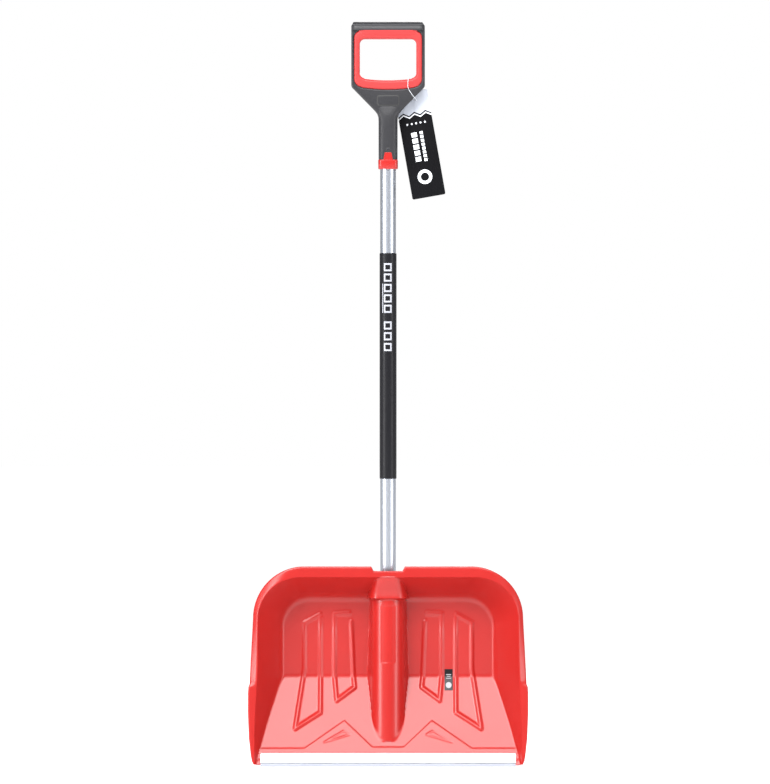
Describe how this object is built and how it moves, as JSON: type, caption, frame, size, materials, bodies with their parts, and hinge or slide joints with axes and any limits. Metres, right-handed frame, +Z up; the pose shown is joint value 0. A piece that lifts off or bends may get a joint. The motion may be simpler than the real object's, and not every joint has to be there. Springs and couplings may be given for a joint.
{
  "type": "snow shovel",
  "caption": "Long-handled snow shovel: moulded scoop with a metal wear strip, sleeved tube shaft, D-shaped hand grip and a swinging hang tag on a filament loop.",
  "frame": {"origin": "middle of the cutting edge, on the level foot of the wear strip", "axes": "+Z up along the shaft to the grip, +X across the scoop, -Y out of the scoop's open side"},
  "size_m": [0.5, 0.1037, 1.329],
  "materials": {
    "red_plastic": "satin moulded polypropylene",
    "strip_metal": "bright drawn",
    "tube_metal": "satin anodised",
    "black_sleeve": "fine textured",
    "plug_plastic": "moulded",
    "screw_steel": "zinc plated",
    "grey_plastic": "spark-eroded texture",
    "soft_red": "soft matte",
    "tag_card": "printed and varnished",
    "clear_nylon": "translucent",
    "label_film": "printed film"
  },
  "bodies": {
    "shovel": {"blade": "red_plastic", "wear_strip": "strip_metal", "shaft_tube": "tube_metal", "shaft_sleeve": "black_sleeve", "shaft_plug_bottom": "plug_plastic", "shaft_plug_top": "plug_plastic", "blade_screw": "screw_steel", "handle_body": "grey_plastic", "grip_liner": "soft_red", "handle_collar": "red_plastic", "badge_plate": "grey_plastic", "handle_screw": "screw_steel", "blade_label": "label_film"},
    "loop": {"tag_loop": "clear_nylon", "tag_lock": "clear_nylon"},
    "tag": {"hang_tag": "tag_card"}
  },
  "joints": [
    {"name": "loop_swing", "type": "hinge", "parent": "shovel", "child": "loop", "pos_m": [0.0368, 0.078, 1.2305], "axis": [0, -1, 0], "range_deg": [0, 35]},
    {"name": "tag_swing", "type": "hinge", "parent": "loop", "child": "tag", "pos_m": [0.0423, 0.092, 1.1933], "axis": [0, -1, 0], "range_deg": [0, 50]}
  ]
}
